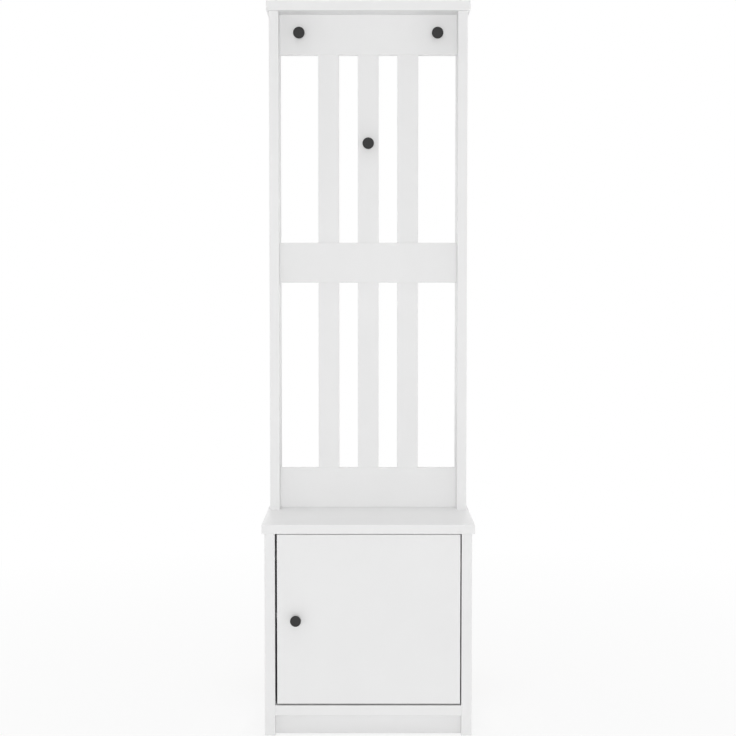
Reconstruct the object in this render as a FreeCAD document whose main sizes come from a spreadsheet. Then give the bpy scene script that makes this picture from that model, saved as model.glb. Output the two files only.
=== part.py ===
import FreeCAD, Part
import os
import re
import Sketcher

# Coat stand: a slatted frame with coat pegs on a seat, over a shoe cabinet with one door.
# Millimetres. The front faces -Y, +X is to the right as seen from the front, +Z is up.
# The origin is on the floor, in the middle of the stand's length and depth.

# Driving sizes, which become the cells of the sheet.
SIZES = {
    # Cabinet boards
    "cabinet_width": 500,
    "cabinet_depth": 340,
    "side_height": 494,
    "side_thickness": 25,
    "bottom_thickness": 25,
    "plinth_height": 49,
    "plinth_thickness": 18,
    "plinth_setback": 20,
    "back_thickness": 3,
    "rebate_width": 10,
    "rebate_depth": 4,
    "rebate_gap": 0.5,
    "shelf_thickness": 16,
    "shelf_setback": 42,
    "shelf_gap": 1,
    "seat_thickness": 22,
    "seat_overhang": 6,
    "seat_nose": 15,
    # Slatted frame
    "post_thickness": 24,
    "post_depth": 114,
    "post_height": 1260,
    "cap_thickness": 24,
    "cap_overhang": 6,
    "cap_nose": 16,
    "rail_height": 102,
    "rail_thickness": 22,
    "slat_width": 53,
    "slat_thickness": 16,
    "slat_pitch": 101,
    "edge_radius": 1,
    # Coat pegs and door knob
    "peg_inset": 51,
    "centre_peg_drop": 226,
    "peg_projection": 38,
    "peg_head_radius": 14.5,
    "peg_head_thickness": 9,
    "peg_neck_radius": 6.5,
    "peg_foot_radius": 9,
    "knob_inset": 45.5,
    "knob_projection": 25,
    "knob_head_radius": 13,
    "knob_head_thickness": 8,
    "knob_neck_radius": 6,
    "knob_foot_radius": 8,
    "foot_thickness": 3,
    "flare_length": 3,
    "face_rounding": 3.5,
    "rim_rounding": 1.2,
    # Door and its hinges
    "door_thickness": 18,
    "door_gap_hinge": 3,
    "door_gap_free": 5,
    "door_gap_top": 4,
    "door_gap_bottom": 4,
    "hinge_inset": 80,
    "cup_radius": 17.5,
    "cup_depth": 12,
    "cup_edge": 5,
    "cup_wall": 1,
    "cup_fit": 0.1,
    "flange_radius": 19,
    "flange_thickness": 1.5,
    "ear_width": 16,
    "ear_reach": 30,
    "cup_screw_reach": 24,
    "pivot_depth": 10.5,
    "pin_radius": 1.5,
    "pin_clearance": 0.05,
    "pin_end_gap": 0.3,
    "eye_radius": 3,
    "arm_width": 12,
    "arm_thickness": 2,
    "arm_offset": 13,
    "arm_reach": 26,
    "plate_length": 52,
    "plate_height": 46,
    "plate_thickness": 2,
    "plate_screw_spread": 32,
    # Magnetic catch
    "catch_drop": 60,
    "catch_width": 14,
    "catch_height": 20,
    "catch_length": 24,
    "catch_gap": 0.3,
    "catch_foot_length": 44,
    "catch_foot_thickness": 2,
    "strike_width": 11,
    "strike_height": 44,
    "strike_thickness": 1,
    "strike_margin": 2,
    "strike_screw_spread": 34,
    # Wall brackets
    "bracket_width": 18,
    "bracket_thickness": 2,
    "bracket_rise": 24,
    "bracket_screw_inset": 9,
    "wall_hole_radius": 2.5,
    "wall_hole_rise": 14,
    # Fixings
    "bore_fit": 0.1,
    "bore_tip": 1,
    "dowel_radius": 4,
    "dowel_length": 30,
    "cam_radius": 7.5,
    "cam_depth": 12.5,
    "cam_setback": 24,
    "cam_mouth_radius": 4,
    "bolt_radius": 3,
    "bolt_bite": 11,
    "bolt_head_radius": 3.6,
    "bolt_head_length": 3,
    "cam_face": 3,
    "drive_length": 10,
    "drive_width": 1.6,
    "drive_depth": 2,
    "screw_radius": 1.75,
    "screw_length": 13,
    "screw_head_radius": 3.5,
    "screw_head_height": 2.2,
    "knob_screw_radius": 2,
    "knob_screw_bite": 12,
    "knob_screw_head_radius": 4,
    "knob_screw_head_height": 2.6,
    "nail_radius": 0.8,
    "nail_length": 16,
    "nail_head_radius": 2.2,
    "nail_head_height": 0.8,
    "shelf_pin_radius": 2.5,
    "shelf_pin_bite": 10,
    "shelf_pin_reach": 9,
    "shelf_pin_collar_radius": 4,
    "shelf_pin_collar": 0.6,
    "shelf_pin_margin": 32,
    "shelf_hole_pitch": 32,
    "slat_dowel_spread": 28,
    "rail_dowel_spread": 68,
    "post_dowel_spread": 84,
    "post_cam_offset": 24,
    "front_dowel_inset": 50,
    "back_dowel_inset": 60,
    "front_cam_inset": 110,
    "back_cam_inset": 125,
    "plinth_dowel_height": 13,
    "plinth_cam_height": 33,
    "nail_inset": 40,
}

# Places that follow from the sizes.
PLACES = {
    "back_y": "(cabinet_depth + knob_projection) / 2",
    "front_y": "back_y - cabinet_depth",
    "side_x": "cabinet_width / 2",
    "inside_x": "side_x - side_thickness",
    "side_middle_x": "side_x - side_thickness / 2",
    "bottom_top_z": "plinth_height + bottom_thickness",
    "seat_top_z": "side_height + seat_thickness",
    "shelf_under_z": "(bottom_top_z + side_height - shelf_thickness) / 2",
    "shelf_front_y": "front_y + shelf_setback",
    "panel_y": "back_y - rebate_depth",
    "nail_y": "panel_y + back_thickness",
    "shelf_back_y": "panel_y - shelf_gap",
    "post_inside_x": "side_x - post_thickness",
    "post_middle_x": "side_x - post_thickness / 2",
    "post_front_y": "back_y - post_depth",
    "frame_y": "back_y - post_depth / 2",
    "rail_front_y": "frame_y - rail_thickness / 2",
    "slat_front_y": "frame_y - slat_thickness / 2",
    "cap_under_z": "seat_top_z + post_height",
    "cap_top_z": "cap_under_z + cap_thickness",
    "lower_rail_z": "seat_top_z",
    "top_rail_z": "cap_under_z - rail_height",
    "middle_rail_z": "(lower_rail_z + top_rail_z) / 2",
    "peg_x": "post_inside_x - peg_inset",
    "peg_z": "top_rail_z + rail_height / 2",
    "centre_peg_z": "top_rail_z - centre_peg_drop",
    "door_left_x": "door_gap_free - inside_x",
    "door_right_x": "inside_x - door_gap_hinge",
    "door_under_z": "bottom_top_z + door_gap_bottom",
    "door_top_z": "side_height - door_gap_top",
    "door_middle_z": "(door_under_z + door_top_z) / 2",
    "door_back_y": "front_y + door_thickness",
    "knob_x": "door_left_x + knob_inset",
    "pivot_x": "door_right_x - cup_edge - cup_radius",
    "pivot_y": "front_y + pivot_depth",
    "plate_x": "inside_x - plate_thickness",
    "plate_y": "pivot_y + arm_reach - arm_thickness / 2",
    "foot_x": "plate_x - arm_thickness",
    "plate_middle_y": "plate_y + plate_length / 2",
    "catch_front_y": "door_back_y + strike_thickness + catch_gap",
    "catch_z": "side_height - catch_drop",
    "strike_x": "door_left_x + strike_margin",
}

X, Y, Z = FreeCAD.Vector(1, 0, 0), FreeCAD.Vector(0, 1, 0), FreeCAD.Vector(0, 0, 1)
DIRECTIONS = {"+x": X, "-x": -X, "+y": Y, "-y": -Y, "+z": Z, "-z": -Z}

doc = FreeCAD.newDocument("CoatStand")
sheet = doc.addObject("Spreadsheet::Sheet", "Sizes")
for row, (name, size) in enumerate(SIZES.items(), 1):
    sheet.set(f"A{row}", name)
    sheet.set(f"B{row}", str(size))
    sheet.setAlias(f"B{row}", name)
doc.recompute()

# Every finished sub-part, by the name of its node.
nodes = {}


def formula(text):
    """A formula in the names of sizes and places, written as an expression on the sheet."""

    def spell(match):
        name = match.group()
        return "Sizes." + name if name in SIZES else "(" + formula(PLACES[name]) + ")"

    return re.sub(r"[a-z][a-z_]+", spell, text)


def number(text):
    """What a formula comes to now."""
    return float(sheet.evalExpression(formula(text)))


def bind(thing, **formulas):
    """Ties properties of a document object to formulas."""
    for name, text in formulas.items():
        thing.setExpression(name, formula(text))


def place(thing, point, turn=None):
    """Ties a document object's place to three formulas, with a fixed turn."""
    if turn:
        thing.Placement = FreeCAD.Placement(FreeCAD.Vector(), turn)
    for axis, text in zip("xyz", point):
        thing.setExpression("Placement.Base." + axis, formula(text))


def pointing(direction):
    """The turn that lays a piece's own Z axis along a direction."""
    return FreeCAD.Rotation(Z, DIRECTIONS[direction])


def opposite(direction):
    return ("-" if direction[0] == "+" else "+") + direction[1]


def along(point, direction, distance):
    """The formulas of a point moved along a direction."""
    moved = list(point)
    index = "xyz".index(direction[1])
    moved[index] = f"{point[index]} {direction[0]} ({distance})"
    return tuple(moved)


class Piece:
    """A body placed by its corner, which boxes and cylinders are added to and cut from."""

    def __init__(self, label, corner):
        self.corner = corner
        self.body = doc.addObject("PartDesign::Body", label)
        place(self.body, corner)
        nodes[label] = self.body

    def primitive(self, kind, point, direction, sizes):
        shape = self.body.newObject("PartDesign::" + kind, f"{self.body.Name}_{kind}")
        bind(shape, **sizes)
        own = [f"{text} - ({start})" for text, start in zip(point, self.corner)]
        place(shape, own, pointing(direction))
        return shape

    def box(self, corner, length, width, height, kind="AdditiveBox"):
        sizes = {"Length": length, "Width": width, "Height": height}
        return self.primitive(kind, corner, "+z", sizes)

    def cut_box(self, corner, length, width, height):
        return self.box(corner, length, width, height, "SubtractiveBox")

    def cylinder(self, point, direction, radius, height):
        return self.primitive("AdditiveCylinder", point, direction, {"Radius": radius, "Height": height})

    def bore(self, point, direction, radius, depth):
        return self.primitive("SubtractiveCylinder", point, direction, {"Radius": radius, "Height": depth})

    def ease(self, axes):
        """Rounds the edges of the body so far that run along the named axes."""
        doc.recompute()
        base = self.body.Tip
        lines = [DIRECTIONS["+" + axis] for axis in axes]
        names = []
        for index, edge in enumerate(base.Shape.Edges, 1):
            run = edge.tangentAt(edge.FirstParameter)
            if any(abs(run.dot(line)) > 0.99 for line in lines):
                names.append(f"Edge{index}")
        fillet = self.body.newObject("PartDesign::Fillet", self.body.Name + "_edges")
        fillet.Base = (base, names)
        bind(fillet, Radius="edge_radius")


def board(label, corner, length, width, height, eased):
    """A board with its edges eased along the named axes."""
    piece = Piece(label, corner)
    piece.box(corner, length, width, height)
    piece.ease(eased)
    return piece


def turned(label, profile, point=("0", "0", "0"), direction="+z"):
    """A body turned about its own Z axis from a closed profile of (radius, height) formulas."""
    body = doc.addObject("PartDesign::Body", label)
    place(body, point, pointing(direction))
    sketch = body.newObject("Sketcher::SketchObject", label + "_profile")
    plane = [item for item in body.Origin.OriginFeatures if item.Role == "XZ_Plane"][0]
    sketch.AttachmentSupport = (plane, [""])
    sketch.MapMode = "FlatFace"
    corners = [FreeCAD.Vector(number(radius), number(height), 0) for radius, height in profile]
    for start, end in zip(corners, corners[1:] + corners[:1]):
        sketch.addGeometry(Part.LineSegment(start, end))
    for index, formulas in enumerate(profile):
        following = (index + 1) % len(profile)
        sketch.addConstraint(Sketcher.Constraint("Coincident", index, 2, following, 1))
        for axis, kind, text in zip((-2, -1), ("DistanceX", "DistanceY"), formulas):
            if text == "0":
                sketch.addConstraint(Sketcher.Constraint("PointOnObject", index, 1, axis))
            else:
                held = sketch.addConstraint(Sketcher.Constraint(kind, -1, 1, index, 1, number(text)))
                sketch.setExpression(f"Constraints[{held}]", formula(text))
    turn = body.newObject("PartDesign::Revolution", label + "_turn")
    turn.Profile = sketch
    turn.ReferenceAxis = (sketch, ["V_Axis"])
    turn.Angle = 360
    return body


def group(label, members):
    """One node that holds several like solids."""
    compound = doc.addObject("Part::Compound", label)
    compound.Links = members
    nodes[label] = compound


def copy_of(master, point, turn):
    """A further copy of a fixing, placed by formulas."""
    link = doc.addObject("App::Link", master.Name + "_copy")
    link.LinkedObject = master
    link.LinkTransform = False
    place(link, point, turn)
    return link


# Cabinet sides: boards on the floor, rebated at the back for the hardboard panel.
sides = {}
for hand, sign, corner_x, rebate_x in (
    ("left", "-", "-side_x", "-inside_x - rebate_width"),
    ("right", "+", "inside_x", "inside_x"),
):
    corner = (corner_x, "front_y", "0")
    side = board(f"cabinet_{hand}_side", corner, "side_thickness", "cabinet_depth", "side_height", "z")
    rebate_corner = (rebate_x, "panel_y", "plinth_height")
    side.cut_box(rebate_corner, "rebate_width", "rebate_depth", "side_height - plinth_height")
    sides[sign] = side

# Bottom of the cabinet, flush with the front edges of the sides, and the plinth set back below it.
bottom = board(
    "bottom_shelf",
    ("-inside_x", "front_y", "plinth_height"),
    "2 * inside_x",
    "cabinet_depth - rebate_depth",
    "bottom_thickness",
    "x",
)
plinth = board(
    "plinth_board",
    ("-inside_x", "front_y + plinth_setback", "0"),
    "2 * inside_x",
    "plinth_thickness",
    "plinth_height",
    "x",
)

# Hardboard back, nailed into the rebates and onto the bottom.
panel = Piece("back_panel", ("rebate_gap - inside_x - rebate_width", "panel_y", "plinth_height"))
panel_width = "2 * (inside_x + rebate_width - rebate_gap)"
panel.box(panel.corner, panel_width, "back_thickness", "side_height - plinth_height")

# Loose shelf on four pins.
shelf = board(
    "inner_shelf",
    ("shelf_gap - inside_x", "shelf_front_y", "shelf_under_z"),
    "2 * (inside_x - shelf_gap)",
    "shelf_back_y - shelf_front_y",
    "shelf_thickness",
    "x",
)

# Seat board over the cabinet, proud at the front and the ends.
seat = board(
    "seat_board",
    ("-side_x - seat_overhang", "front_y - seat_nose", "side_height"),
    "2 * (side_x + seat_overhang)",
    "cabinet_depth + seat_nose",
    "seat_thickness",
    "xyz",
)

# Posts of the frame, which stand on the seat.
posts = {}
for hand, sign, corner_x in (("left", "-", "-side_x"), ("right", "+", "post_inside_x")):
    corner = (corner_x, "post_front_y", "seat_top_z")
    posts[sign] = board(f"{hand}_post", corner, "post_thickness", "post_depth", "post_height", "z")

# Cap board on the posts.
cap = board(
    "cap_board",
    ("-side_x - cap_overhang", "post_front_y - cap_nose", "cap_under_z"),
    "2 * (side_x + cap_overhang)",
    "post_depth + cap_nose",
    "cap_thickness",
    "xyz",
)

# Rails between the posts, on the middle plane of the frame.
rails = {}
for level in ("lower", "middle", "top"):
    corner = ("-post_inside_x", "rail_front_y", f"{level}_rail_z")
    rails[level] = board(f"{level}_rail", corner, "2 * post_inside_x", "rail_thickness", "rail_height", "x")

# Slats between the rails, three to each bay.
slats = {}
for bay, under, over in (("lower", "lower", "middle"), ("upper", "middle", "top")):
    for hand, step in (("left", -1), ("centre", 0), ("right", 1)):
        middle_x = f"{step} * slat_pitch"
        foot = f"{under}_rail_z + rail_height"
        slat = board(
            f"{bay}_{hand}_slat",
            (f"{middle_x} - slat_width / 2", "slat_front_y", foot),
            "slat_width",
            "slat_thickness",
            f"{over}_rail_z - ({foot})",
            "z",
        )
        slats[bay, hand] = (slat, middle_x, under, over)

# Door: one board inside the opening, flush with the front edges of the cabinet.
door = board(
    "door",
    ("door_left_x", "front_y", "door_under_z"),
    "door_right_x - door_left_x",
    "door_thickness",
    "door_top_z - door_under_z",
    "xyz",
)


def knob(label, shape, point, piece, thickness):
    """A turned knob on the front of a board, and the machine screw that holds it from behind."""
    head, neck, foot = f"{shape}_head_radius", f"{shape}_neck_radius", f"{shape}_foot_radius"
    top = f"{shape}_projection"
    back = f"{top} - {shape}_head_thickness"
    profile = [
        ("0", "knob_screw_bite + bore_tip"),
        ("knob_screw_radius + bore_fit", "knob_screw_bite + bore_tip"),
        ("knob_screw_radius + bore_fit", "0"),
        (foot, "0"),
        (foot, "foot_thickness"),
        (neck, "foot_thickness + flare_length"),
        (neck, f"{back} - flare_length"),
        (head, back),
        (head, top),
        ("0", top),
    ]
    body = turned(label, profile, point, "-y")
    for height, radius in ((top, "face_rounding"), (back, "rim_rounding")):
        doc.recompute()
        base = body.Tip
        rim = FreeCAD.Vector(number(head), 0, number(height))
        rims = []
        for index, edge in enumerate(base.Shape.Edges, 1):
            if isinstance(edge.Curve, Part.Circle) and edge.distToShape(Part.Vertex(rim))[0] < 1e-6:
                rims.append(f"Edge{index}")
        rounding = body.newObject("PartDesign::Fillet", f"{label}_{radius}")
        rounding.Base = (base, rims)
        bind(rounding, Radius=radius)
    nodes[label] = body
    piece.bore(point, "+y", "knob_screw_radius + bore_fit", thickness)
    screw_profile = [
        ("0", f"{thickness} + knob_screw_bite"),
        ("0", "-knob_screw_head_height"),
        ("knob_screw_head_radius", "-knob_screw_head_height"),
        ("knob_screw_head_radius", "0"),
        ("knob_screw_radius", "0"),
        ("knob_screw_radius", f"{thickness} + knob_screw_bite"),
    ]
    return turned(label + "_screw", screw_profile, along(point, "+y", thickness), "-y")


# Coat pegs: two on the top rail, one on the middle slat of the upper bay.
middle_slat = slats["upper", "centre"][0]
peg_screws = [
    knob("coat_peg_left", "peg", ("-peg_x", "rail_front_y", "peg_z"), rails["top"], "rail_thickness"),
    knob("coat_peg_right", "peg", ("peg_x", "rail_front_y", "peg_z"), rails["top"], "rail_thickness"),
    knob("coat_peg_centre", "peg", ("0", "slat_front_y", "centre_peg_z"), middle_slat, "slat_thickness"),
]
group("peg_screws", peg_screws)
knob_point = ("knob_x", "front_y", "door_middle_z")
group("knob_screw", [knob("door_knob", "knob", knob_point, door, "door_thickness")])

# Beech dowels, half in each of the two boards that they join.
dowel_profile = [("0", "0"), ("dowel_radius", "0"), ("dowel_radius", "dowel_length"), ("0", "dowel_length")]
dowel = turned("dowel", dowel_profile)


def dowel_joint(first, second, point, direction):
    """A dowel through a joint at a point, from the first board into the second."""
    for piece, way in ((first, opposite(direction)), (second, direction)):
        piece.bore(point, way, "dowel_radius + bore_fit", "dowel_length / 2 + bore_tip")
    return copy_of(dowel, along(point, opposite(direction), "dowel_length / 2"), pointing(direction))


# Cam fittings: a bolt screwed into one board, drawn in by a cam let into the other.
bolt_end = "cam_setback - bolt_head_length"
bolt_profile = [
    ("0", "-bolt_bite"),
    ("bolt_radius", "-bolt_bite"),
    ("bolt_radius", bolt_end),
    ("bolt_head_radius", bolt_end),
    ("bolt_head_radius", "cam_setback"),
    ("0", "cam_setback"),
]
cam_bolt = turned("cam_bolt", bolt_profile)
cam = Piece("cam_lock", ("0", "0", "0"))
nodes.pop("cam_lock")
cam.cylinder(("0", "0", "-cam_depth"), "+z", "cam_radius - bore_fit", "cam_depth")
cam_mouth_corner = ("-bore_tip", "-cam_mouth_radius", "-cam_depth")
cam.cut_box(cam_mouth_corner, "cam_radius + bore_tip", "2 * cam_mouth_radius", "cam_depth - cam_face")
for length, width in (("drive_length", "drive_width"), ("drive_width", "drive_length")):
    cam.cut_box((f"-{length} / 2", f"-{width} / 2", "-drive_depth"), length, width, "drive_depth")
cam_bolts = []
cam_locks = []


def cam_joint(bolt_piece, cam_piece, point, direction, facing, cover):
    """A bolt at a point of the joint, and its cam under the face that lies a cover away."""
    bolt_piece.bore(point, opposite(direction), "bolt_radius + bore_fit", "bolt_bite + bore_tip")
    cam_piece.bore(point, direction, "cam_mouth_radius", "cam_setback")
    centre = along(along(point, direction, "cam_setback"), facing, cover)
    cam_piece.bore(centre, opposite(facing), "cam_radius", "cam_depth")
    cam_bolts.append(copy_of(cam_bolt, point, pointing(direction)))
    towards_bolt, out = DIRECTIONS[opposite(direction)], DIRECTIONS[facing]
    turn = FreeCAD.Rotation(towards_bolt, out.cross(towards_bolt), out, "ZXY")
    cam_locks.append(copy_of(cam.body, centre, turn))


rail_dowels = []
slat_dowels = []
board_dowels = []
for sign, away in (("-", "+x"), ("+", "-x")):
    # Rails into the post.
    for level, rail in rails.items():
        middle_z = f"{level}_rail_z + rail_height / 2"
        end_x = f"{sign}post_inside_x"
        for offset in ("- rail_dowel_spread / 2", "+ rail_dowel_spread / 2"):
            dowel_point = (end_x, "frame_y", f"{middle_z} {offset}")
            rail_dowels.append(dowel_joint(posts[sign], rail, dowel_point, away))
        cam_joint(posts[sign], rail, (end_x, "frame_y", middle_z), away, "+y", "rail_thickness / 2")
    # Post between the seat and the cap.
    post_x = f"{sign}post_middle_x"
    for piece, height, up in ((seat, "seat_top_z", "+z"), (cap, "cap_under_z", "-z")):
        for offset in ("- post_dowel_spread / 2", "+ post_dowel_spread / 2"):
            board_dowels.append(dowel_joint(piece, posts[sign], (post_x, f"frame_y {offset}", height), up))
        cam_point = (post_x, "frame_y + post_cam_offset", height)
        cam_joint(piece, posts[sign], cam_point, up, away, "post_thickness / 2")
    # Cabinet side to the seat, the bottom and the plinth.
    side = sides[sign]
    side_x, inner_x = f"{sign}side_middle_x", f"{sign}inside_x"
    bottom_z = "plinth_height + bottom_thickness / 2"
    for y in ("front_y + front_dowel_inset", "back_y - back_dowel_inset"):
        board_dowels.append(dowel_joint(seat, side, (side_x, y, "side_height"), "-z"))
        board_dowels.append(dowel_joint(side, bottom, (inner_x, y, bottom_z), away))
    for y in ("front_y + front_cam_inset", "back_y - back_cam_inset"):
        cam_joint(seat, side, (side_x, y, "side_height"), "-z", away, "side_thickness / 2")
        cam_joint(side, bottom, (inner_x, y, bottom_z), away, "-z", "bottom_thickness / 2")
    plinth_y = "front_y + plinth_setback + plinth_thickness / 2"
    board_dowels.append(dowel_joint(side, plinth, (inner_x, plinth_y, "plinth_dowel_height"), away))
    cam_joint(side, plinth, (inner_x, plinth_y, "plinth_cam_height"), away, "+y", "plinth_thickness / 2")

# Slats into the rails below and above, two dowels to each end.
for slat, middle_x, under, over in slats.values():
    for offset in ("- slat_dowel_spread / 2", "+ slat_dowel_spread / 2"):
        x = f"{middle_x} {offset}"
        foot = (x, "frame_y", f"{under}_rail_z + rail_height")
        slat_dowels.append(dowel_joint(rails[under], slat, foot, "+z"))
        slat_dowels.append(dowel_joint(slat, rails[over], (x, "frame_y", f"{over}_rail_z"), "+z"))
group("rail_dowels", rail_dowels)
group("slat_dowels", slat_dowels)
group("board_dowels", board_dowels)
group("cam_bolts", cam_bolts)
group("cam_locks", cam_locks)

# Pins under the loose shelf, in the middle one of each row of three holes.
pin_profile = [
    ("0", "-shelf_pin_bite"),
    ("shelf_pin_radius", "-shelf_pin_bite"),
    ("shelf_pin_radius", "0"),
    ("shelf_pin_collar_radius", "0"),
    ("shelf_pin_collar_radius", "shelf_pin_collar"),
    ("shelf_pin_radius", "shelf_pin_collar"),
    ("shelf_pin_radius", "shelf_pin_reach"),
    ("0", "shelf_pin_reach"),
]
shelf_pin = turned("shelf_pin", pin_profile)
shelf_pins = []
for sign, away in (("-", "+x"), ("+", "-x")):
    for y in ("shelf_front_y + shelf_pin_margin", "shelf_back_y - shelf_pin_margin"):
        pin_point = (f"{sign}inside_x", y, "shelf_under_z - shelf_pin_radius")
        for step in (-1, 0, 1):
            hole = along(pin_point, "+z", f"{step} * shelf_hole_pitch")
            hole_radius, hole_depth = "shelf_pin_radius + bore_fit", "shelf_pin_bite + bore_tip"
            sides[sign].bore(hole, opposite(away), hole_radius, hole_depth)
        shelf_pins.append(copy_of(shelf_pin, pin_point, pointing(away)))
group("shelf_pins", shelf_pins)

# Pan-head wood screw, pointing along +Z with its head's seat at zero.
screw_profile = [
    ("0", "-screw_head_height"),
    ("screw_head_radius", "-screw_head_height"),
    ("screw_head_radius", "0"),
    ("screw_radius", "0"),
    ("screw_radius", "screw_length - screw_radius"),
    ("0", "screw_length"),
]
screw = turned("screw", screw_profile)


def screwed(point, direction, *pieces):
    """A wood screw whose head sits at a point, and its bore through each of the pieces."""
    for piece in pieces:
        piece.bore(point, direction, "screw_radius + bore_fit", "screw_length + bore_tip")
    return copy_of(screw, point, pointing(direction))


# Hinges: a cup let into the door, with a pin that the arm turns on, and a plate on the cabinet side.
cup_screws = []
plate_screws = []
for level, height in (("lower", "door_under_z + hinge_inset"), ("upper", "door_top_z - hinge_inset")):
    mouth = ("pivot_x", "door_back_y", height)
    door.bore(mouth, "-y", "cup_radius", "cup_depth")
    cup = Piece(f"{level}_hinge_cup", mouth)
    cup.cylinder(mouth, "-y", "cup_radius - cup_fit", "cup_depth - cup_fit")
    cup.cylinder(mouth, "+y", "flange_radius", "flange_thickness")
    ear_corner = ("pivot_x - ear_width / 2", "door_back_y", f"{height} - ear_reach")
    cup.box(ear_corner, "ear_width", "flange_thickness", "2 * ear_reach")
    lip = along(mouth, "+y", "flange_thickness")
    hollow_depth = "cup_depth - cup_fit - cup_wall + flange_thickness"
    cup.bore(lip, "-y", "cup_radius - cup_fit - cup_wall", hollow_depth)
    for way in ("-z", "+z"):
        cup_screws.append(screwed(along(lip, way, "cup_screw_reach"), "-y", cup, door))

    pin_half = "(cup_radius - cup_fit - cup_wall - pin_end_gap)"
    pin_foot = ("pivot_x", "pivot_y", f"{height} - {pin_half}")
    pin = Piece(f"{level}_hinge_pin", pin_foot)
    pin.cylinder(pin_foot, "+z", "pin_radius", f"2 * {pin_half}")

    arm_foot = f"{height} - arm_width / 2"
    arm = Piece(f"{level}_hinge_arm", ("pivot_x", "pivot_y", arm_foot))
    arm.cylinder(arm.corner, "+z", "eye_radius", "arm_width")
    near, far = "pivot_x - arm_offset - arm_thickness / 2", "pivot_y + arm_reach - arm_thickness / 2"
    first_leg = (near, "pivot_y - arm_thickness / 2", arm_foot)
    arm.box(first_leg, "arm_offset + arm_thickness / 2", "arm_thickness", "arm_width")
    arm.box(first_leg, "arm_thickness", "arm_reach + arm_thickness", "arm_width")
    arm.box((near, far, arm_foot), f"plate_x - ({near})", "arm_thickness", "arm_width")
    arm.box(("foot_x", far, arm_foot), "arm_thickness", "plate_length", "arm_width")
    arm.bore(arm.corner, "+z", "pin_radius + pin_clearance", "arm_width")

    plate_corner = ("plate_x", "plate_y", f"{height} - plate_height / 2")
    plate = Piece(f"{level}_hinge_plate", plate_corner)
    plate.box(plate_corner, "plate_thickness", "plate_length", "plate_height")
    for way in ("-z", "+z"):
        plate_point = along(("plate_x", "plate_middle_y", height), way, "plate_screw_spread / 2")
        plate_screws.append(screwed(plate_point, "+x", plate, sides["+"]))
    plate_screws.append(screwed(("foot_x", "plate_middle_y", height), "+x", arm, plate, sides["+"]))
group("cup_screws", cup_screws)
group("hinge_plate_screws", plate_screws)

# Magnetic catch on the left side, which also stops the door, and its strike plate on the door.
catch = Piece("magnetic_catch", ("-inside_x", "catch_front_y", "catch_z - catch_height / 2"))
catch.box(catch.corner, "catch_width", "catch_length", "catch_height")
catch.box(catch.corner, "catch_foot_thickness", "catch_foot_length", "catch_height")
catch_screw_y = "catch_front_y + (catch_length + catch_foot_length) / 2"
catch_screw_point = ("catch_foot_thickness - inside_x", catch_screw_y, "catch_z")
group("catch_screw", [screwed(catch_screw_point, "-x", catch, sides["-"])])
strike = Piece("strike_plate", ("strike_x", "door_back_y", "catch_z - strike_height / 2"))
strike.box(strike.corner, "strike_width", "strike_thickness", "strike_height")
strike_middle = ("strike_x + strike_width / 2", "door_back_y + strike_thickness", "catch_z")
strike_screws = []
for way in ("-z", "+z"):
    strike_point = along(strike_middle, way, "strike_screw_spread / 2")
    strike_screws.append(screwed(strike_point, "-y", strike, door))
group("strike_screws", strike_screws)

# Wall brackets: angles on the cap's back edge, with a hole for the wall screw above the cap.
bracket_screws = []
for hand, sign in (("left", "-"), ("right", "+")):
    middle_x = f"{sign}post_middle_x"
    edge_x, tab_y = f"{middle_x} - bracket_width / 2", "back_y - bracket_thickness"
    bracket = Piece(f"{hand}_wall_bracket", (edge_x, "frame_y - bracket_screw_inset", "cap_top_z"))
    foot_length = "back_y - frame_y + bracket_screw_inset"
    bracket.box(bracket.corner, "bracket_width", foot_length, "bracket_thickness")
    straight = "bracket_rise - bracket_width / 2"
    bracket.box((edge_x, tab_y, "cap_top_z"), "bracket_width", "bracket_thickness", straight)
    round_middle = (middle_x, tab_y, f"cap_top_z + {straight}")
    bracket.cylinder(round_middle, "+y", "bracket_width / 2", "bracket_thickness")
    wall_hole = (middle_x, tab_y, "cap_top_z + wall_hole_rise")
    bracket.bore(wall_hole, "+y", "wall_hole_radius", "bracket_thickness")
    screw_point = (middle_x, "frame_y", "cap_top_z + bracket_thickness")
    bracket_screws.append(screwed(screw_point, "-z", bracket, cap))
group("bracket_screws", bracket_screws)

# Nails through the hardboard into the rebates and the back edge of the bottom.
nail_profile = [
    ("0", "-nail_head_height"),
    ("nail_head_radius", "-nail_head_height"),
    ("nail_head_radius", "0"),
    ("nail_radius", "0"),
    ("nail_radius", "nail_length - nail_radius"),
    ("0", "nail_length"),
]
nail = turned("nail", nail_profile)
nail_heights = ("bottom_top_z + nail_inset", "(bottom_top_z + side_height) / 2", "side_height - nail_inset")
nail_places = []
for sign in "-+":
    for height in nail_heights:
        nail_places.append((sides[sign], f"{sign}(inside_x + rebate_width / 2)", height))
for step in (-1, 0, 1):
    nail_x = f"{step} * (inside_x - nail_inset) / 2"
    nail_places.append((bottom, nail_x, "plinth_height + bottom_thickness / 2"))
nails = []
for piece, x, height in nail_places:
    for holed in (panel, piece):
        holed.bore((x, "nail_y", height), "-y", "nail_radius + bore_fit", "nail_length + bore_tip")
    nails.append(copy_of(nail, (x, "nail_y", height), pointing("-y")))
group("back_nails", nails)

doc.recompute()
for thing in doc.Objects:
    if "Invalid" in thing.State or "Error" in thing.State:
        raise RuntimeError(f"{thing.Label} did not compute: {thing.State}")
for name, thing in nodes.items():
    if thing.Shape.isNull() or not thing.Shape.isValid():
        raise RuntimeError(f"{name} has no valid shape")

os.makedirs("parts", exist_ok=True)
for name, thing in nodes.items():
    thing.Shape.exportStep(f"parts/{name}.step")
    print(f"{name}: {len(thing.Shape.Solids)} solids, {thing.Shape.Volume / 1000:.1f} cm3")
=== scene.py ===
import math

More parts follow.
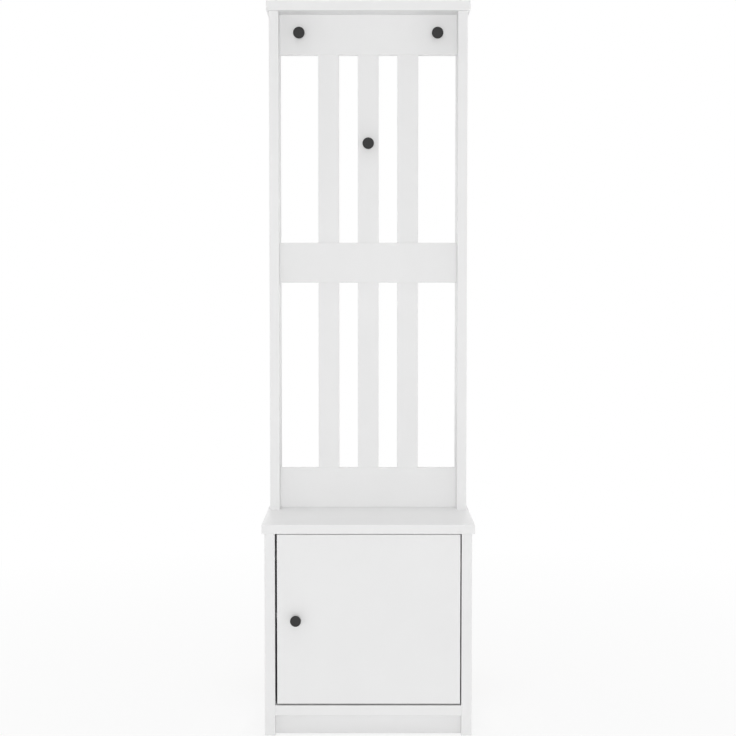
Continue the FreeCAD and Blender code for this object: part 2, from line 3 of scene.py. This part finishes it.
import bmesh
import bpy
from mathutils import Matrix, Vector


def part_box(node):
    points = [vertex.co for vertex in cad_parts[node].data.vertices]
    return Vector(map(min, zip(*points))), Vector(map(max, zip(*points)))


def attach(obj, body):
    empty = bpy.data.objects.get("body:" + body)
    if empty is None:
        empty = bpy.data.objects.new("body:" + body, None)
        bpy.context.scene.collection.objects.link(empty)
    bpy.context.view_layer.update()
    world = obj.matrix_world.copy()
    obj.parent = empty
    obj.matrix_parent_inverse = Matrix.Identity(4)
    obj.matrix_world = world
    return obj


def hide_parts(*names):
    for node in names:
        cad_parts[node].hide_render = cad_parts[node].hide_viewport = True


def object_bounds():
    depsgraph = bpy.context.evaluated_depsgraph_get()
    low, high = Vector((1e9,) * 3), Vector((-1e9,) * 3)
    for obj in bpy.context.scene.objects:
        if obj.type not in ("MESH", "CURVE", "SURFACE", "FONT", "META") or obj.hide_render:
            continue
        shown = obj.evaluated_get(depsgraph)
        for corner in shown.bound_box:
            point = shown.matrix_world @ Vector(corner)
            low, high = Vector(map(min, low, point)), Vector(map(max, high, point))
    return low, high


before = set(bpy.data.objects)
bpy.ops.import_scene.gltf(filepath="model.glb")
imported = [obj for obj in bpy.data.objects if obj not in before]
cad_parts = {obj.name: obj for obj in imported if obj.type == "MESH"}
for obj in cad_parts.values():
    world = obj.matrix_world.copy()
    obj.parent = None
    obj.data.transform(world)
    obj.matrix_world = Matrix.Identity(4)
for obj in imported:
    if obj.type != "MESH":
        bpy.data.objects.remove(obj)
cad_low, cad_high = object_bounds()

# Cabinet sides, bottom and plinth.
# Boards of dense fibreboard with eased edges, sprayed white on every face. The sides stand on the floor
# and hold the bottom and the set-back plinth between them on dowels and cam fittings.
MM = 0.001
LACQUER_PALE, LACQUER_DEEP = "#EAEAEA", "#E5E5E5"
COAT_DRIFT = 180  # mm over which the coat's thickness drifts
COAT_CLOUD = 35  # mm across the duller and glossier clouds of the coat
ORANGE_PEEL = 6  # mm from bump to bump, twice as coarse as sprayed lacquer so that it shows
PEEL_HEIGHT = 0.03  # mm
LACQUER_GLOSSY, LACQUER_DULL = 0.5, 0.64  # roughness of the coat's clouds


def linear(code):
    """The linear colour of an sRGB hex code."""
    channels = [int(code[place : place + 2], 16) / 255 for place in (1, 3, 5)]
    lit = [c / 12.92 if c <= 0.04045 else ((c + 0.055) / 1.055) ** 2.4 for c in channels]
    return (*lit, 1)


def feed(node, sockets):
    """Gives each named socket of a node a value, or a link from another node's output."""
    for name, source in sockets.items():
        if isinstance(source, bpy.types.NodeSocket):
            node.id_data.links.new(source, node.inputs[name])
        else:
            node.inputs[name].default_value = source


def add_node(tree, kind, sockets, **settings):
    """Adds a shader node with its settings, and feeds its sockets."""
    node = tree.nodes.new("ShaderNode" + kind)
    for name, setting in settings.items():
        setattr(node, name, setting)
    feed(node, sockets)
    return node


def new_material(name):
    """A new material, its tree, its shader, and the place on the piece that its patterns follow."""
    material = bpy.data.materials.new(name)
    material.use_nodes = True
    tree = material.node_tree
    place = add_node(tree, "TexCoord", {}).outputs["Object"]
    return material, tree, tree.nodes["Principled BSDF"], place


def dress(material, *names):
    """Gives CAD nodes a material."""
    for name in names:
        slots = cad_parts[name].data.materials
        slots.clear()
        slots.append(material)


# White satin lacquer: an even, soft white whose sheen breaks up in faint clouds and orange peel.
white_lacquer, tree, shader, place = new_material("white_satin_lacquer")
drift = add_node(tree, "TexNoise", {"Vector": place, "Scale": 1 / (COAT_DRIFT * MM), "Detail": 3})
tone = add_node(tree, "ValToRGB", {"Fac": drift.outputs["Fac"]})
for stop, code in zip(tone.color_ramp.elements, (LACQUER_DEEP, LACQUER_PALE)):
    stop.color = linear(code)
cloud = add_node(tree, "TexNoise", {"Vector": place, "Scale": 1 / (COAT_CLOUD * MM), "Detail": 4})
clouded = {"Value": cloud.outputs["Fac"], "To Min": LACQUER_GLOSSY, "To Max": LACQUER_DULL}
sheen = add_node(tree, "MapRange", clouded)
peel = add_node(tree, "TexNoise", {"Vector": place, "Scale": 1 / (ORANGE_PEEL * MM), "Detail": 1})
relief = add_node(tree, "Bump", {
    "Height": peel.outputs["Fac"],
    "Distance": PEEL_HEIGHT * MM,
    "Strength": 1,
})
feed(shader, {
    "Base Color": tone.outputs["Color"],
    "Roughness": sheen.outputs["Result"],
    "Normal": relief.outputs["Normal"],
    "IOR": 1.5,
})
dress(white_lacquer, "cabinet_left_side", "cabinet_right_side", "bottom_shelf", "plinth_board")

# Dowels.
# Fluted beech pins glued half into each of two boards, through every joint of the cabinet and the
# frame. They are out of sight once the stand is together.
BEECH_PALE, BEECH_DEEP = "#D9B48A", "#B78A5C"
BEECH_GRAIN = 1.5  # mm from one streak of grain to the next
BEECH_RUN = 25  # times longer than wide, which is how far a streak runs
BEECH_RELIEF = 0.1  # mm

# Beech: a warm pale brown wood with short fine streaks and no polish.
beech, tree, shader, place = new_material("beech")
grain_scale = (1 / (BEECH_GRAIN * MM), 1 / (BEECH_GRAIN * MM), 1 / (BEECH_GRAIN * BEECH_RUN * MM))
stretched = add_node(tree, "Mapping", {"Vector": place, "Scale": grain_scale})
grain = add_node(tree, "TexNoise", {"Vector": stretched.outputs["Vector"], "Scale": 1, "Detail": 4})
tone = add_node(tree, "ValToRGB", {"Fac": grain.outputs["Fac"]})
for stop, code in zip(tone.color_ramp.elements, (BEECH_DEEP, BEECH_PALE)):
    stop.color = linear(code)
relief = add_node(tree, "Bump", {
    "Height": grain.outputs["Fac"],
    "Distance": BEECH_RELIEF * MM,
    "Strength": 0.6,
})
feed(shader, {
    "Base Color": tone.outputs["Color"],
    "Normal": relief.outputs["Normal"],
    "Roughness": 0.7,
})
dress(beech, "rail_dowels", "slat_dowels", "board_dowels")

# Cam fittings, shelf pins and nails.
# Cast zinc cams that draw in steel bolts, turned pins under the shelf, and flat-headed nails that hold
# the back. All are plated with bright zinc.
ZINC_PALE, ZINC_DEEP = "#D3D6DA", "#B4B8BD"
ZINC_BLOOM = 4  # mm across the cloudy patches of the plating
ZINC_DULL, ZINC_BRIGHT = 0.42, 0.26  # roughness of those patches

# Bright zinc plate: a cool grey metal, a little cloudy, that catches soft highlights.
zinc, tree, shader, place = new_material("bright_zinc_plate")
bloom = add_node(tree, "TexNoise", {"Vector": place, "Scale": 1 / (ZINC_BLOOM * MM), "Detail": 5})
tone = add_node(tree, "ValToRGB", {"Fac": bloom.outputs["Fac"]})
for stop, code in zip(tone.color_ramp.elements, (ZINC_DEEP, ZINC_PALE)):
    stop.color = linear(code)
bloomed = {"Value": bloom.outputs["Fac"], "To Min": ZINC_DULL, "To Max": ZINC_BRIGHT}
sheen = add_node(tree, "MapRange", bloomed)
feed(shader, {
    "Base Color": tone.outputs["Color"],
    "Roughness": sheen.outputs["Result"],
    "Metallic": 1,
})
dress(zinc, "cam_bolts", "cam_locks", "shelf_pins", "back_nails")

# Back panel.
# Thin hardboard in the rebates of the sides, white-faced towards the inside and left raw behind, where
# the pressing screen has marked it. Nails hold it along both sides and the bottom.
HARDBOARD_PALE, HARDBOARD_DEEP = "#A98359", "#84613D"
HARDBOARD_FIBRE = 7  # mm across the clumps of fibre
SCREEN_PITCH = 4  # mm from wire to wire, twice as coarse as the real screen so that it shows
SCREEN_DEPTH = 0.3  # mm
RAW_ROUGHNESS, COATED_ROUGHNESS = 0.8, 0.45
FRONT_FACING = -0.5  # a face whose normal has a lower y looks to the front
WAVES_PER_METRE = 20 / math.tau  # of the wave texture, at a scale of 1
MIX_SHARE, MIX_FROM, MIX_TO, MIX_RESULT = 0, 6, 7, 2  # colour sockets of Mix, whose names repeat

# Hardboard: pressed brown fibre with a woven screen's print, and a thin white coat on its good face.
hardboard, tree, shader, place = new_material("white_faced_hardboard")
clumps = add_node(tree, "TexNoise", {"Vector": place, "Scale": 1 / (HARDBOARD_FIBRE * MM), "Detail": 8})
raw = add_node(tree, "ValToRGB", {"Fac": clumps.outputs["Fac"]})
for stop, code in zip(raw.color_ramp.elements, (HARDBOARD_DEEP, HARDBOARD_PALE)):
    stop.color = linear(code)
facing = add_node(tree, "TexCoord", {}).outputs["Normal"]
facing_y = add_node(tree, "SeparateXYZ", {"Vector": facing}).outputs["Y"]
inside = add_node(tree, "Math", {0: facing_y, 1: FRONT_FACING}, operation="LESS_THAN").outputs["Value"]
coats = {MIX_SHARE: inside, MIX_FROM: raw.outputs["Color"], MIX_TO: linear(LACQUER_DEEP)}
coat = add_node(tree, "Mix", coats, data_type="RGBA").outputs[MIX_RESULT]
wires = []
for axis in ("X", "Z"):
    wire_scale = 1 / (SCREEN_PITCH * MM) / WAVES_PER_METRE
    wire = add_node(tree, "TexWave", {"Vector": place, "Scale": wire_scale}, bands_direction=axis)
    wires.append(wire.outputs["Fac"])
mesh_print = add_node(tree, "Math", {0: wires[0], 1: wires[1]}, operation="MULTIPLY")
outside = add_node(tree, "Math", {0: 1.0, 1: inside}, operation="SUBTRACT")
relief = add_node(tree, "Bump", {
    "Height": mesh_print.outputs["Value"],
    "Distance": SCREEN_DEPTH * MM,
    "Strength": outside.outputs["Value"],
})
coated = {"Value": inside, "To Min": RAW_ROUGHNESS, "To Max": COATED_ROUGHNESS}
sheen = add_node(tree, "MapRange", coated)
feed(shader, {
    "Base Color": coat,
    "Roughness": sheen.outputs["Result"],
    "Normal": relief.outputs["Normal"],
})
dress(hardboard, "back_panel")

# Inner shelf and seat.
# The shelf is a loose board on four pins. The seat board closes the cabinet and stands proud at the
# front and the ends; dowels and cams hold it down on the sides.
dress(white_lacquer, "inner_shelf", "seat_board")

# Posts, rails, slats and cap.
# The slatted frame: two deep posts on the seat, three rails between them, three slats to each bay and
# a cap board over the posts, all sprayed like the cabinet.
dress(white_lacquer, "left_post", "right_post", "cap_board", "lower_rail", "middle_rail", "top_rail")
for bay in ("lower", "upper"):
    for hand in ("left", "centre", "right"):
        dress(white_lacquer, f"{bay}_{hand}_slat")

# Coat pegs.
# Turned metal knobs with a flat round head on a waisted neck, powder-coated black. Two sit on the top
# rail and one on the middle slat, each held by a machine screw from behind.
BLACK_PALE, BLACK_DEEP = "#202020", "#171717"
POWDER_GRAIN = 1.2  # mm from grain to grain of the cured powder, coarser than real so that it shows
POWDER_HEIGHT = 0.05  # mm
POWDER_SMOOTH, POWDER_ROUGH = 0.6, 0.72  # roughness between the grains and on them
FACE_ROUNDING = 3.5  # mm
RIM_ROUNDING = 1.2  # mm
FACE_CROWN = 0.4  # mm that the middle of the face stands above its edge
FOOT_THICKNESS = 3  # mm
FOOT_ROUNDING = 0.8  # mm
FLARE = 3  # mm along the neck
TAPPED_HOLE = (2.1, 13)  # mm radius and depth
TURN_STEPS = 96  # facets round a turned piece
ROUNDING_STEPS = 8  # facets along a small rounding
BROAD_STEPS = 12  # facets along a broad one
FACE_RINGS = 5  # steps from the edge of the face to its middle
SHARP_EDGE = 35  # degrees between two faces, above which their edge isn't shaded smooth

# Black powder coat: a dark skin, nearly matt, with a fine grain that softens its highlights.
black_powder, tree, shader, place = new_material("black_powder_coat")
grain = add_node(tree, "TexNoise", {"Vector": place, "Scale": 1 / (POWDER_GRAIN * MM), "Detail": 3})
tone = add_node(tree, "ValToRGB", {"Fac": grain.outputs["Fac"]})
for stop, code in zip(tone.color_ramp.elements, (BLACK_DEEP, BLACK_PALE)):
    stop.color = linear(code)
grained = {"Value": grain.outputs["Fac"], "To Min": POWDER_SMOOTH, "To Max": POWDER_ROUGH}
sheen = add_node(tree, "MapRange", grained)
relief = add_node(tree, "Bump", {
    "Height": grain.outputs["Fac"],
    "Distance": POWDER_HEIGHT * MM,
    "Strength": 1,
})
feed(shader, {
    "Base Color": tone.outputs["Color"],
    "Roughness": sheen.outputs["Result"],
    "Normal": relief.outputs["Normal"],
    "IOR": 1.5,
})


def quarter(start, end, along_axis, steps=ROUNDING_STEPS):
    """Points of a quarter ellipse after start, up to end, that sets off along the axis or across it."""
    points = []
    for step in range(1, steps + 1):
        turn = math.pi / 2 * step / steps
        late, early = 1 - math.cos(turn), math.sin(turn)
        shares = (late, early) if along_axis else (early, late)
        points.append(tuple(a + (b - a) * share for a, b, share in zip(start, end, shares)))
    return points


def turned(mesh, profile, origin, axis, steps):
    """Adds to a bmesh (radius, height) points in mm turned about an axis, and gives the last ring."""
    across = axis.orthogonal().normalized()
    other = axis.cross(across)
    rings = []
    for radius, height in profile:
        middle = origin + axis * height * MM
        if radius == 0:
            rings.append([mesh.verts.new(middle)] * steps)
            continue
        ring = []
        for step in range(steps):
            turn = math.tau * step / steps
            outwards = across * math.cos(turn) + other * math.sin(turn)
            ring.append(mesh.verts.new(middle + outwards * radius * MM))
        rings.append(ring)
    for near, far in zip(rings, rings[1:]):
        for step in range(steps):
            following = (step + 1) % steps
            corners = [near[step], near[following], far[following], far[step]]
            mesh.faces.new(list(dict.fromkeys(corners)))
    return rings[-1]


def new_piece(name, mesh, material, body, slot, *stands_for):
    """Makes a piece of a bmesh, which rides on a body in the place of CAD nodes."""
    bmesh.ops.recalc_face_normals(mesh, faces=mesh.faces)
    data = bpy.data.meshes.new(name)
    mesh.to_mesh(data)
    mesh.free()
    data.shade_smooth()
    data.set_sharp_from_angle(angle=math.radians(SHARP_EDGE))
    data.materials.append(material)
    piece = bpy.data.objects.new(name, data)
    bpy.context.scene.collection.objects.link(piece)
    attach(piece, body)
    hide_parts(*stands_for)


def turned_knob(name, node, body, head_thickness, neck, foot):
    """A knob turned to the size of its CAD node. Neck and foot are radii, and all sizes are in mm."""
    low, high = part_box(node)
    top = (high.y - low.y) / MM
    head = (high.x - low.x) / 2 / MM
    back = top - head_thickness
    hole, hole_depth = TAPPED_HOLE
    profile = [(0, hole_depth), (hole, hole_depth), (hole, 0), (foot, 0)]
    profile += [(foot, FOOT_THICKNESS - FOOT_ROUNDING)]
    profile += quarter(profile[-1], (foot - FOOT_ROUNDING, FOOT_THICKNESS), True)
    profile += quarter(profile[-1], (neck, FOOT_THICKNESS + FLARE), False)
    profile += [(neck, back - FLARE)]
    profile += quarter(profile[-1], (head - RIM_ROUNDING, back), True, BROAD_STEPS)
    profile += quarter(profile[-1], (head, back + RIM_ROUNDING), False)
    profile += [(head, top - FACE_ROUNDING)]
    profile += quarter(profile[-1], (head - FACE_ROUNDING, top - FACE_CROWN), True, BROAD_STEPS)
    face = head - FACE_ROUNDING
    for ring in reversed(range(FACE_RINGS)):
        share = ring / FACE_RINGS
        profile.append((face * share, top - FACE_CROWN * share**2))
    mesh = bmesh.new()
    seat = Vector(((low.x + high.x) / 2, high.y, (low.z + high.z) / 2))
    turned(mesh, profile, seat, Vector((0, -1, 0)), TURN_STEPS)
    new_piece(name, mesh, black_powder, body, "black_metal", node)


for hand in ("left", "right", "centre"):
    turned_knob(f"{hand}_peg", f"coat_peg_{hand}", "stand", head_thickness=9, neck=6.5, foot=9)

# Door and its knob.
# One fibreboard panel set into the opening, sprayed like the rest, with a smaller knob of the same kind
# at its free edge.
dress(white_lacquer, "door")
turned_knob("knob_of_door", "door_knob", "door_leaf", head_thickness=8, neck=6, foot=8)

# Hinges.
# Two concealed hinges of pressed steel, nickel-plated: a cup let into the door, a pin across it, and a
# cranked arm on a plate that is screwed to the cabinet side.
NICKEL_PALE, NICKEL_DEEP = "#D6D2CB", "#BDB8B0"
DRAW_MARKS = 0.8  # mm between the fine marks that the press leaves
DRAW_RUN = 20  # times longer than wide, which is how far a mark runs
NICKEL_DULL, NICKEL_BRIGHT = 0.3, 0.18  # roughness in the marks and between them

# Nickel-plated steel: a warm grey metal with fine drawn marks and clear, slightly soft reflections.
nickel, tree, shader, place = new_material("nickel_plated_steel")
drawn_scale = (1 / (DRAW_MARKS * MM), 1 / (DRAW_MARKS * MM), 1 / (DRAW_MARKS * DRAW_RUN * MM))
stretched = add_node(tree, "Mapping", {"Vector": place, "Scale": drawn_scale})
marks = add_node(tree, "TexNoise", {"Vector": stretched.outputs["Vector"], "Scale": 1, "Detail": 3})
tone = add_node(tree, "ValToRGB", {"Fac": marks.outputs["Fac"]})
for stop, code in zip(tone.color_ramp.elements, (NICKEL_DEEP, NICKEL_PALE)):
    stop.color = linear(code)
marked = {"Value": marks.outputs["Fac"], "To Min": NICKEL_DULL, "To Max": NICKEL_BRIGHT}
sheen = add_node(tree, "MapRange", marked)
feed(shader, {
    "Base Color": tone.outputs["Color"],
    "Roughness": sheen.outputs["Result"],
    "Metallic": 1,
})
for level in ("lower", "upper"):
    for piece in ("cup", "pin", "arm", "plate"):
        dress(nickel, f"{level}_hinge_{piece}")

# Magnetic catch.
# A moulded black case for a magnet, screwed to the left side of the cabinet, that holds the zinc-plated
# steel strike plate on the door.
PLASTIC_PALE, PLASTIC_DEEP = "#242424", "#191919"
SPARK_GRAIN = 1  # mm between the pits of the mould, coarser than real so that they show
SPARK_DEPTH = 0.02  # mm

# Moulded plastic: an even black with the fine matt grain of a spark-cut mould.
black_plastic, tree, shader, place = new_material("moulded_black_plastic")
pits = add_node(tree, "TexNoise", {"Vector": place, "Scale": 1 / (SPARK_GRAIN * MM), "Detail": 2})
tone = add_node(tree, "ValToRGB", {"Fac": pits.outputs["Fac"]})
for stop, code in zip(tone.color_ramp.elements, (PLASTIC_DEEP, PLASTIC_PALE)):
    stop.color = linear(code)
relief = add_node(tree, "Bump", {
    "Height": pits.outputs["Fac"],
    "Distance": SPARK_DEPTH * MM,
    "Strength": 1,
})
feed(shader, {
    "Base Color": tone.outputs["Color"],
    "Normal": relief.outputs["Normal"],
    "Roughness": 0.5,
    "IOR": 1.53,
})
dress(black_plastic, "magnetic_catch")
dress(zinc, "strike_plate")

# Wall brackets.
# Small steel angles, powder-coated white, that are screwed to the cap over each post and to the wall,
# so that the stand can't tip.
BRACKET_PALE, BRACKET_DEEP = "#ECECEC", "#E2E2E2"

# White powder coat: a hard satin white with a fine grain.
white_powder, tree, shader, place = new_material("white_powder_coat")
grain = add_node(tree, "TexNoise", {"Vector": place, "Scale": 1 / (POWDER_GRAIN * MM), "Detail": 3})
tone = add_node(tree, "ValToRGB", {"Fac": grain.outputs["Fac"]})
for stop, code in zip(tone.color_ramp.elements, (BRACKET_DEEP, BRACKET_PALE)):
    stop.color = linear(code)
relief = add_node(tree, "Bump", {
    "Height": grain.outputs["Fac"],
    "Distance": POWDER_HEIGHT * MM,
    "Strength": 1,
})
feed(shader, {
    "Base Color": tone.outputs["Color"],
    "Normal": relief.outputs["Normal"],
    "Roughness": 0.45,
    "IOR": 1.5,
})
dress(white_powder, "left_wall_bracket", "right_wall_bracket")

# Screws.
# Pan-head screws with a cross recess, zinc-plated: machine screws behind the pegs and the knob, and
# wood screws through the hinges, the catch, the strike plate and the brackets.
SCREW_BODIES = {
    "peg_screws": "stand",
    "knob_screw": "door_leaf",
    "cup_screws": "door_leaf",
    "hinge_plate_screws": "stand",
    "catch_screw": "stand",
    "strike_screws": "door_leaf",
    "bracket_screws": "stand",
}
HEAD_ROUNDING = 1.1  # mm
RECESS_ARMS = 4
RECESS_REACH = 2  # mm from the middle of the head to the end of each arm of the cross
RECESS_WIDTH = 1  # mm
RECESS_DEPTH = 1.4  # mm
RECESS_TAPER = 0.6  # share of the cross's size that is left at its bottom
WELD_SLACK = 0.001  # mm, within which two corners of a CAD mesh are one
READING_SLACK = 0.05  # mm, within which two corners of a CAD solid count as level
SCREW_STEPS = 48  # facets round a screw


def separate_solids(node):
    """The corner points of each separate solid of a CAD node."""
    mesh = bmesh.new()
    mesh.from_mesh(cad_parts[node].data)
    bmesh.ops.remove_doubles(mesh, verts=mesh.verts, dist=WELD_SLACK * MM)
    seen = set()
    solids = []
    for first in mesh.verts:
        if first in seen:
            continue
        seen.add(first)
        reached = [first]
        for corner in reached:
            for edge in corner.link_edges:
                neighbour = edge.other_vert(corner)
                if neighbour not in seen:
                    seen.add(neighbour)
                    reached.append(neighbour)
        solids.append([corner.co.copy() for corner in reached])
    mesh.free()
    return solids


def cross(mesh, middle, axis, share):
    """Adds to a bmesh the corners of a recess, three to each arm, at a share of its full size."""
    across = axis.orthogonal().normalized()
    half = RECESS_WIDTH / 2
    corners = []
    for _ in range(RECESS_ARMS):
        aside = axis.cross(across)
        for out, off in ((half, -half), (RECESS_REACH, -half), (RECESS_REACH, half)):
            corners.append(mesh.verts.new(middle + (across * out + aside * off) * share * MM))
        across = aside
    return corners


def pan_head_screw(mesh, points):
    """Adds to a bmesh a screw with the size and place of a CAD solid, as its points give them."""
    low = Vector(map(min, zip(*points)))
    high = Vector(map(max, zip(*points)))
    middle = (low + high) / 2
    size = list(high - low)
    axis = Vector((0, 0, 0))
    axis[size.index(max(size))] = 1
    spots = []
    for point in points:
        reach = point - middle
        spots.append((reach.cross(axis).length / MM, reach.dot(axis) / MM))
    head, head_height = max(spots)
    if head_height < 0:
        axis = -axis
        spots = [(radius, -height) for radius, height in spots]
    rim = [height for radius, height in spots if radius > head - READING_SLACK]
    seat, top = min(rim), max(rim)
    shank = max(radius for radius, height in spots if height < seat - READING_SLACK)
    shank_end = min(height for radius, height in spots if radius > shank - READING_SLACK)
    tip = min(height for radius, height in spots)
    profile = [(0, tip), (shank, shank_end), (shank, seat), (head, seat), (head, top - HEAD_ROUNDING)]
    profile += quarter(profile[-1], (head - HEAD_ROUNDING, top), True)
    ring = turned(mesh, profile, middle, axis, SCREW_STEPS)
    mouth = cross(mesh, middle + axis * top * MM, axis, 1)
    bottom = cross(mesh, middle + axis * (top - RECESS_DEPTH) * MM, axis, RECESS_TAPER)
    share = SCREW_STEPS // RECESS_ARMS
    for arm in range(RECESS_ARMS):
        first = arm * share - share // 2
        arc = [ring[step % SCREW_STEPS] for step in range(first, first + share + 1)]
        inner = [mouth[(3 * arm + corner) % len(mouth)] for corner in (3, 2, 1, 0)]
        mesh.faces.new(arc + inner)
    for corner in range(len(mouth)):
        following = (corner + 1) % len(mouth)
        mesh.faces.new([mouth[corner], mouth[following], bottom[following], bottom[corner]])
    mesh.faces.new(bottom)


for node, body in SCREW_BODIES.items():
    mesh = bmesh.new()
    for points in separate_solids(node):
        pan_head_screw(mesh, points)
    new_piece(f"pan_head_{node}", mesh, zinc, body, "zinc", node)

# Floor, light and camera.
# A pale floor that shows white to the camera but keeps the stand's soft shadow, even light from all
# round with soft lamps on five sides, and a camera close to the photograph's view.
FLOOR_SIZE = 14  # m
FLOOR_WHITE = "#F4F4F4"
FLOOR_SHADE = 0.25  # share of the floor's own light and shade that shows right under the stand
FLOOR_REACH = 2.5  # m from the middle of the stand to where the floor is plain white
PLAIN_WHITE = (1, 1, 1, 1)
AMBIENT = 0.6  # strength of the light from all round, where 1 is white
LAMPS = {  # place in m, power in W, size in m
    "front": ((0, -5.5, 1.1), 85, 1.6),
    "left": ((-7, 0, 1.25), 47, 1.4),
    "right": ((7, 0, 1.25), 47, 1.4),
    "back": ((0, 7, 1.25), 72, 2.5),
    "overhead": ((0, -0.4, 8), 110, 1.2),
}
CAMERA_PLACE = Vector((-0.0006, -3.8, 1.1))  # m
CAMERA_PITCH = 2.86  # degrees downwards
CAMERA_LENS = 74.6  # mm on a sensor 36 mm wide
CAMERA_SHIFT = -0.015  # of the frame's width

scene = bpy.context.scene
scene.view_settings.view_transform = "Standard"

mesh = bmesh.new()
bmesh.ops.create_grid(mesh, x_segments=1, y_segments=1, size=FLOOR_SIZE / 2)
floor_data = bpy.data.meshes.new("floor")
mesh.to_mesh(floor_data)
mesh.free()
floor = bpy.data.objects.new("floor", floor_data)
scene.collection.objects.link(floor)


def seen_directly(tree):
    """One for rays from the camera, a reflection or glass, and nothing for light on the object."""
    rays = add_node(tree, "LightPath", {}).outputs
    seen = rays["Is Camera Ray"]
    for kind in ("Is Glossy Ray", "Is Transmission Ray"):
        seen = add_node(tree, "Math", {0: seen, 1: rays[kind]}, operation="MAXIMUM").outputs["Value"]
    return seen


floor_paint, tree, shader, place = new_material("pale_floor")
feed(shader, {"Base Color": linear(FLOOR_WHITE), "Roughness": 0.9, "Specular IOR Level": 0})
glow = add_node(tree, "Emission", {"Color": PLAIN_WHITE, "Strength": 1})
reach = add_node(tree, "Mapping", {"Vector": place, "Scale": (1 / FLOOR_REACH,) * 3}).outputs["Vector"]
nearness = add_node(tree, "TexGradient", {"Vector": reach}, gradient_type="SPHERICAL").outputs["Fac"]
white = add_node(tree, "MapRange", {"Value": nearness, "To Min": 1, "To Max": 1 - FLOOR_SHADE})
shares = {0: seen_directly(tree), 1: white.outputs["Result"]}
share = add_node(tree, "Math", shares, operation="MULTIPLY").outputs["Value"]
mixed = add_node(tree, "MixShader", {0: share, 1: shader.outputs["BSDF"], 2: glow.outputs["Emission"]})
feed(tree.nodes["Material Output"], {"Surface": mixed.outputs["Shader"]})
floor_data.materials.append(floor_paint)

world = bpy.data.worlds.new("studio")
scene.world = world
world.use_nodes = True
tree = world.node_tree
ambient = tree.nodes["Background"]
feed(ambient, {"Color": PLAIN_WHITE, "Strength": AMBIENT})
backdrop = add_node(tree, "Background", {"Color": PLAIN_WHITE, "Strength": 1})
chosen = {0: seen_directly(tree), 1: ambient.outputs["Background"], 2: backdrop.outputs["Background"]}
feed(tree.nodes["World Output"], {"Surface": add_node(tree, "MixShader", chosen).outputs["Shader"]})

middle = (cad_low + cad_high) / 2
for name, (place, power, size) in LAMPS.items():
    light = bpy.data.lights.new(f"{name}_light", "AREA")
    light.energy = power
    light.size = size
    lamp = bpy.data.objects.new(f"{name}_lamp", light)
    lamp.location = place
    lamp.rotation_euler = (middle - Vector(place)).to_track_quat("-Z", "Y").to_euler()
    scene.collection.objects.link(lamp)

lens = bpy.data.cameras.new("camera")
lens.lens = CAMERA_LENS
lens.shift_y = CAMERA_SHIFT
camera = bpy.data.objects.new("camera", lens)
camera.location = CAMERA_PLACE
camera.rotation_euler = (math.radians(90 - CAMERA_PITCH), 0, 0)
scene.collection.objects.link(camera)
scene.camera = camera
